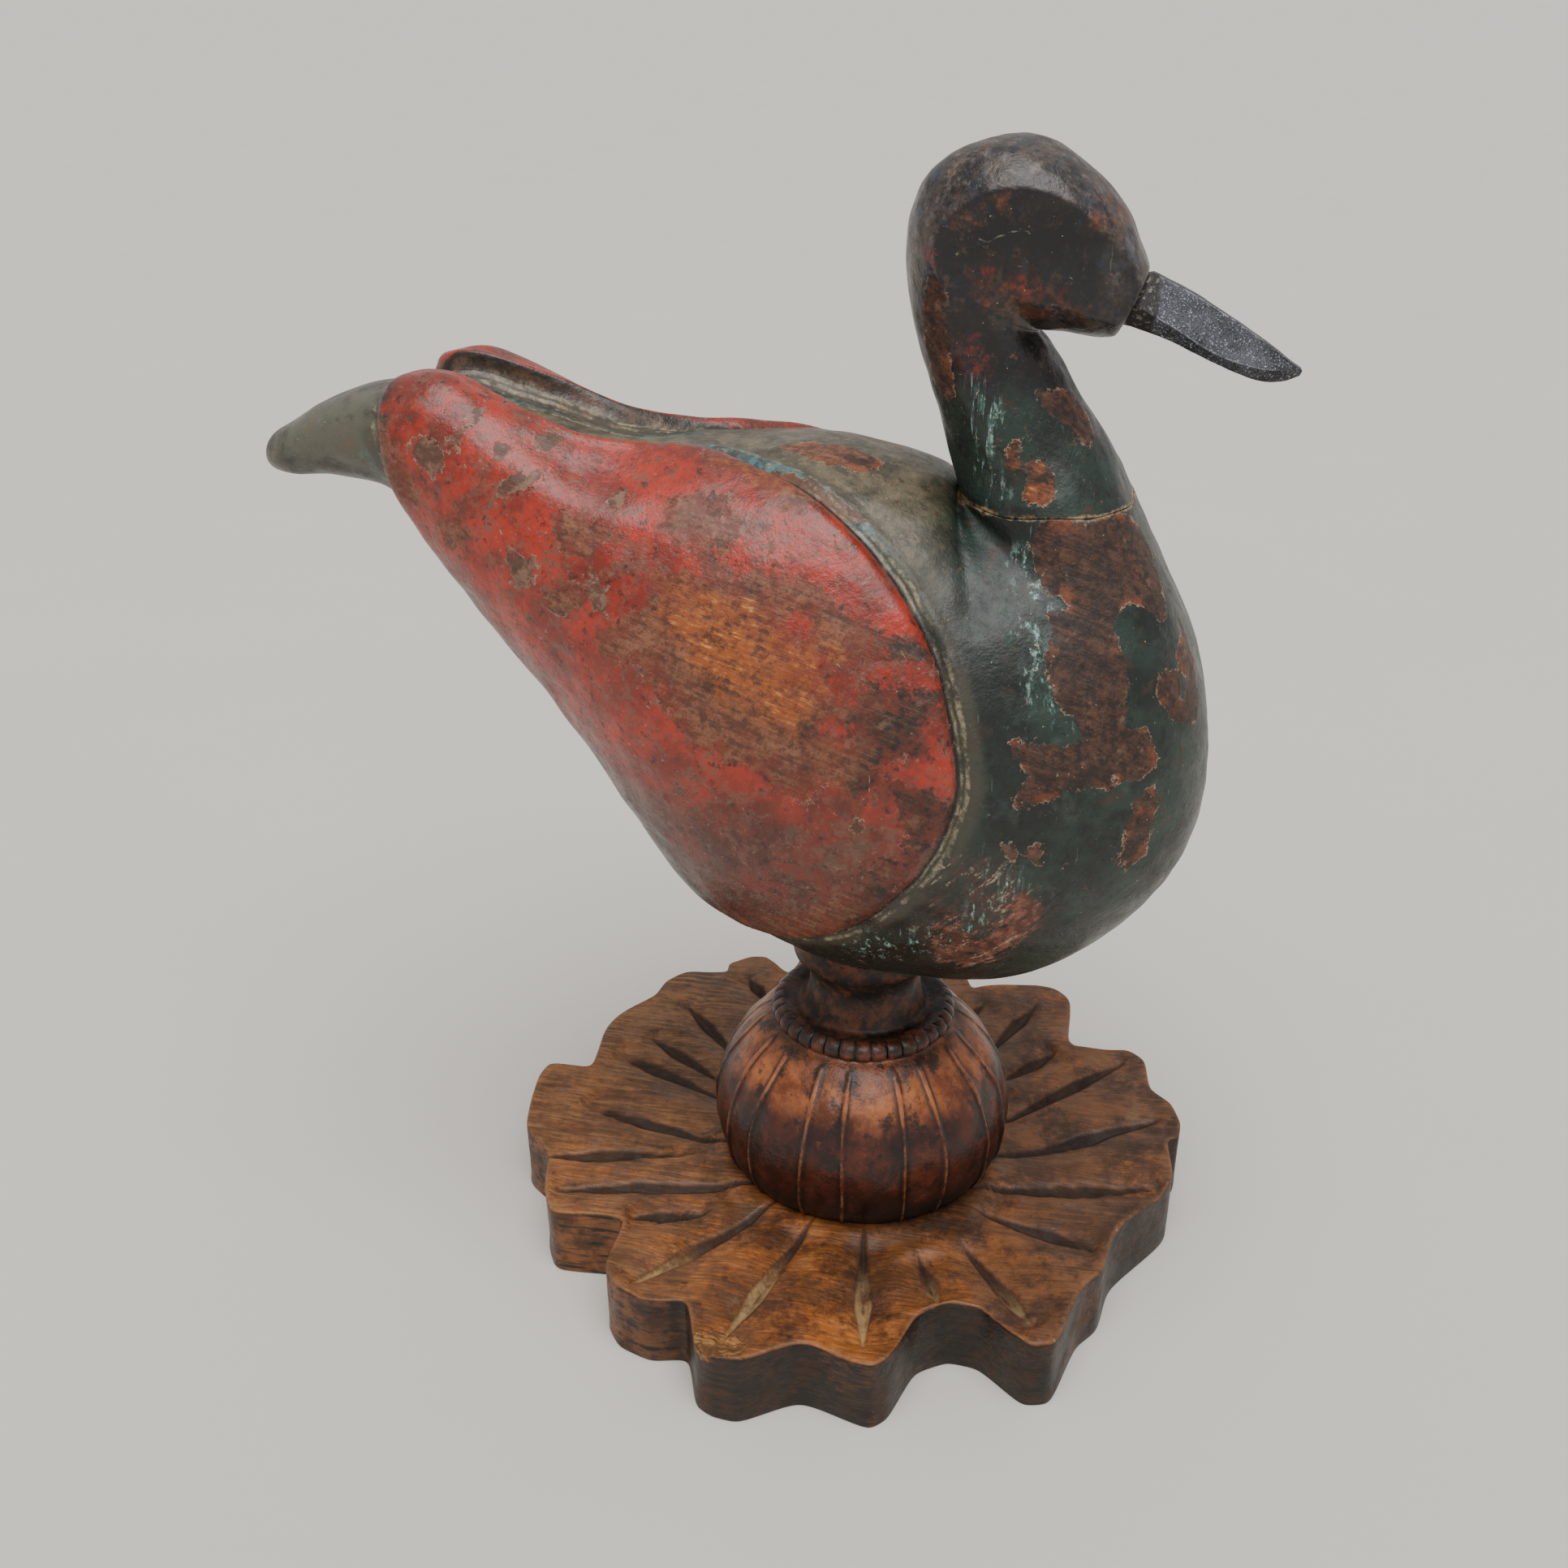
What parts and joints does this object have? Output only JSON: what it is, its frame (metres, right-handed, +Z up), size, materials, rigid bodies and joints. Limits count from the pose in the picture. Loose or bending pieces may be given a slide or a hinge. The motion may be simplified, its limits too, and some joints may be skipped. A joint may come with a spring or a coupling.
{
  "type": "carved wooden duck",
  "caption": "Painted wooden duck with raised wings and a dark metal bill, carved to stand on a ribbed ball and a flat base of uneven petals, with old, worn paint.",
  "frame": {"origin": "on the flat underside of the base, below the middle of the ball", "axes": "+X is the way the duck faces, +Y its left side, +Z up from the surface it stands on"},
  "size_m": [0.192, 0.1507, 0.228],
  "materials": {
    "stained_wood": "brown stained hardwood with worn orange edges and a little wax",
    "red_brown_wood": "red-brown satin finish, with black grime low down and in the recesses",
    "worn_paint": "old red and dark green paint, worn through to brown wood, with a waxy shine on the high places",
    "dark_paint": "near-black and dark green paint with traces of red, orange-brown losses and a satin shine",
    "grey_metal": "dark graphite grey, satin, with fine bright specks"
  },
  "bodies": {
    "root": {"lotus_base": "stained_wood", "ribbed_ball": "red_brown_wood", "duck_body": "worn_paint", "head_and_neck": "dark_paint", "bill": "grey_metal"}
  },
  "joints": []
}
